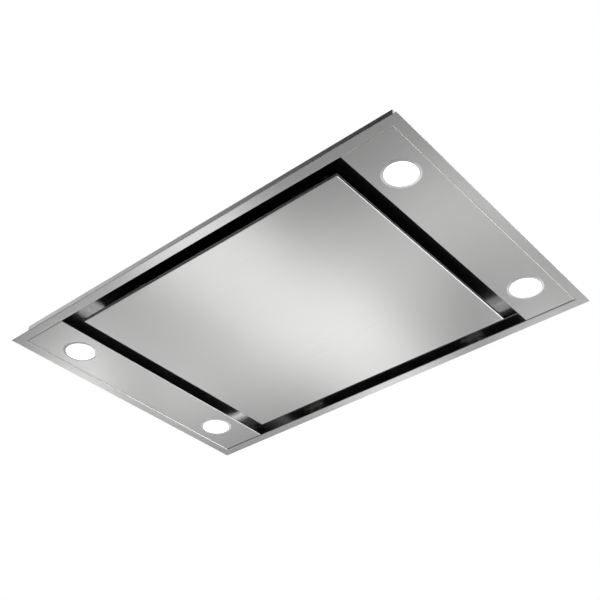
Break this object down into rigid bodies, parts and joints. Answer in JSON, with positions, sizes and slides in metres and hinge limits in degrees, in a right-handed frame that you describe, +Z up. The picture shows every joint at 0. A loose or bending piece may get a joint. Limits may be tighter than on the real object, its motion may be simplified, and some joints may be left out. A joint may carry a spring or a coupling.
{
  "type": "ceiling range hood",
  "caption": "Recessed ceiling hood with perimeter suction round a hinged steel panel, lit spots, grease filters, centrifugal blower and a round side duct collar.",
  "frame": {"origin": "middle of the face, at the visible underside of the rim", "axes": "+X along the long side, away from the duct collar; +Y across the face, towards the panel's hinge; +Z up into the ceiling"},
  "size_m": [0.9, 0.6, 0.197],
  "materials": {
    "brushed_panel": "fine brushed along the long side",
    "mirror_deck": "bright rolled",
    "zinc_sheet": "galvanised sheet",
    "aluminium": "satin",
    "spot_ring": "satin anodised",
    "black_sheet": "matte black",
    "grey_plastic": "fine moulded grain",
    "black_rubber": "matte",
    "spot_lens": "opal, lit from behind",
    "board": "solder-mask green",
    "filter_mesh": "expanded metal",
    "plated_steel": "zinc plated",
    "motor_black": "black enamel"
  },
  "bodies": {
    "hood": {"face_frame": "brushed_panel", "light_panel_left": "brushed_panel", "light_panel_right": "brushed_panel", "recess_deck": "mirror_deck", "hinge_bracket_left": "plated_steel", "hinge_bracket_right": "plated_steel", "hinge_pins": "plated_steel", "magnet_catches": "grey_plastic", "spot_clips": "plated_steel", "spot_drivers": "grey_plastic", "wiring": "black_rubber", "filter_frame_left": "aluminium", "filter_frame_right": "aluminium", "filter_mesh_left": "filter_mesh", "filter_mesh_right": "filter_mesh", "filter_rails": "zinc_sheet", "housing_shell": "zinc_sheet", "end_wall_left": "zinc_sheet", "end_wall_right": "zinc_sheet", "ceiling_hangers": "zinc_sheet", "blower_scroll": "grey_plastic", "scroll_cover": "grey_plastic", "inlet_ring": "aluminium", "motor": "motor_black", "motor_bracket": "plated_steel", "blower_mounts": "black_rubber", "motor_capacitor": "aluminium", "outlet_adaptor": "grey_plastic", "duct_collar": "zinc_sheet", "flap_pin": "plated_steel", "control_box": "zinc_sheet", "control_cover": "zinc_sheet", "circuit_board": "board", "cable_gland": "grey_plastic", "deck_screws": "plated_steel", "housing_rivets": "aluminium", "spot_bezel_1": "spot_ring", "spot_lens_1": "spot_lens", "spot_body_1": "aluminium", "spot_bezel_2": "spot_ring", "spot_lens_2": "spot_lens", "spot_body_2": "aluminium", "spot_bezel_3": "spot_ring", "spot_lens_3": "spot_lens", "spot_body_3": "aluminium", "spot_bezel_4": "spot_ring", "spot_lens_4": "spot_lens", "spot_body_4": "aluminium"},
    "panel": {"panel_face": "brushed_panel", "panel_back": "black_sheet", "panel_ribs": "zinc_sheet", "hinge_leaf_left": "plated_steel", "hinge_leaf_right": "plated_steel", "strike_plates": "plated_steel"},
    "latch_left": {"filter_latch_left": "grey_plastic"},
    "latch_right": {"filter_latch_right": "grey_plastic"},
    "impeller": {"impeller": "aluminium"},
    "flap_left": {"flap_left": "grey_plastic"},
    "flap_right": {"flap_right": "grey_plastic"}
  },
  "joints": [
    {"name": "panel_hinge", "type": "hinge", "parent": "hood", "child": "panel", "pos_m": [0, 0.24, 0.018], "axis": [1, 0, 0], "range_deg": [0, 90]},
    {"name": "latch_left_slide", "type": "slide", "parent": "hood", "child": "latch_left", "axis": [0, 1, 0], "range_m": [0, 0.006], "stiffness_N_per_m": 400, "springref_m": -0.004},
    {"name": "latch_right_slide", "type": "slide", "parent": "hood", "child": "latch_right", "axis": [0, 1, 0], "range_m": [0, 0.006], "stiffness_N_per_m": 400, "springref_m": -0.004},
    {"name": "impeller_spin", "type": "hinge", "parent": "hood", "child": "impeller", "pos_m": [0.045, -0.018, 0.14], "axis": [0, 0, 1], "continuous": true},
    {"name": "flap_left_swing", "type": "hinge", "parent": "hood", "child": "flap_left", "pos_m": [-0.29, 0.04, 0.114], "axis": [0, 0, 1], "range_deg": [0, 75], "stiffness_Nm_per_rad": 0.01, "springref_deg": -11.46},
    {"name": "flap_right_swing", "type": "hinge", "parent": "hood", "child": "flap_right", "pos_m": [-0.29, 0.04, 0.114], "axis": [0, 0, -1], "range_deg": [0, 75], "stiffness_Nm_per_rad": 0.01, "springref_deg": -11.46}
  ]
}
